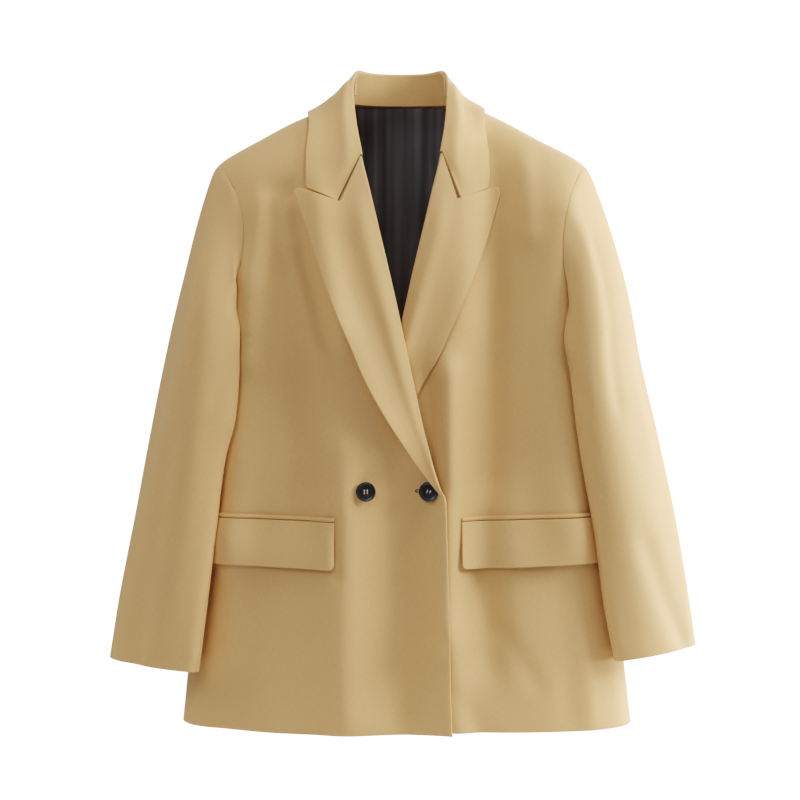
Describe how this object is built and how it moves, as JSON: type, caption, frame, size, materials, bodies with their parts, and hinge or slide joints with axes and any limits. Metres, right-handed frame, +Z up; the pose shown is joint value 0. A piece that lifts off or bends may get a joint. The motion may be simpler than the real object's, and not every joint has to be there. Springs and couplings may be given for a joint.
{
  "type": "double breasted blazer",
  "caption": "Hollow double breasted jacket with wide peaked lapels, a low closing, flap pockets and full two-piece sleeves, filled out as worn",
  "frame": {"origin": "middle of the neck opening, at the height where the collar turns over onto the fronts, level with the sides of the neck; the jacket is held there and on its shoulders", "axes": "+Z up along the jacket from hem to neck, -Y out of the front, +X towards the wearer's left"},
  "size_m": [0.694, 0.2332, 0.7887],
  "materials": {
    "front_right": "fine plain-woven suiting, soft low sheen",
    "front_left": "fine plain-woven suiting, soft low sheen",
    "back": "fine plain-woven suiting, soft low sheen",
    "back_lining": "smooth satin-woven lining, low sheen",
    "top_sleeve_right": "fine plain-woven suiting, soft low sheen",
    "top_sleeve_left": "fine plain-woven suiting, soft low sheen",
    "under_sleeve_right": "fine plain-woven suiting, soft low sheen",
    "under_sleeve_left": "fine plain-woven suiting, soft low sheen",
    "collar_fall": "fine plain-woven suiting, soft low sheen",
    "collar_stand": "fine plain-woven suiting, soft low sheen",
    "lapel_right": "fine plain-woven suiting, soft low sheen",
    "lapel_left": "fine plain-woven suiting, soft low sheen",
    "welt_right": "fine plain-woven suiting, soft low sheen",
    "welt_left": "fine plain-woven suiting, soft low sheen",
    "flap_right": "fine plain-woven suiting, soft low sheen",
    "flap_left": "fine plain-woven suiting, soft low sheen",
    "button_show": "moulded, satin polish",
    "button_closing": "moulded, satin polish"
  },
  "bodies": {
    "root": {"front_right": "front_right", "front_left": "front_left", "back": "back", "back_lining": "back_lining", "top_sleeve_right": "top_sleeve_right", "top_sleeve_left": "top_sleeve_left", "under_sleeve_right": "under_sleeve_right", "under_sleeve_left": "under_sleeve_left", "collar_fall": "collar_fall", "collar_stand": "collar_stand", "lapel_right": "lapel_right", "lapel_left": "lapel_left", "welt_right": "welt_right", "welt_left": "welt_left", "flap_right": "flap_right", "flap_left": "flap_left", "button_show": "button_show", "button_closing": "button_closing"}
  },
  "joints": []
}
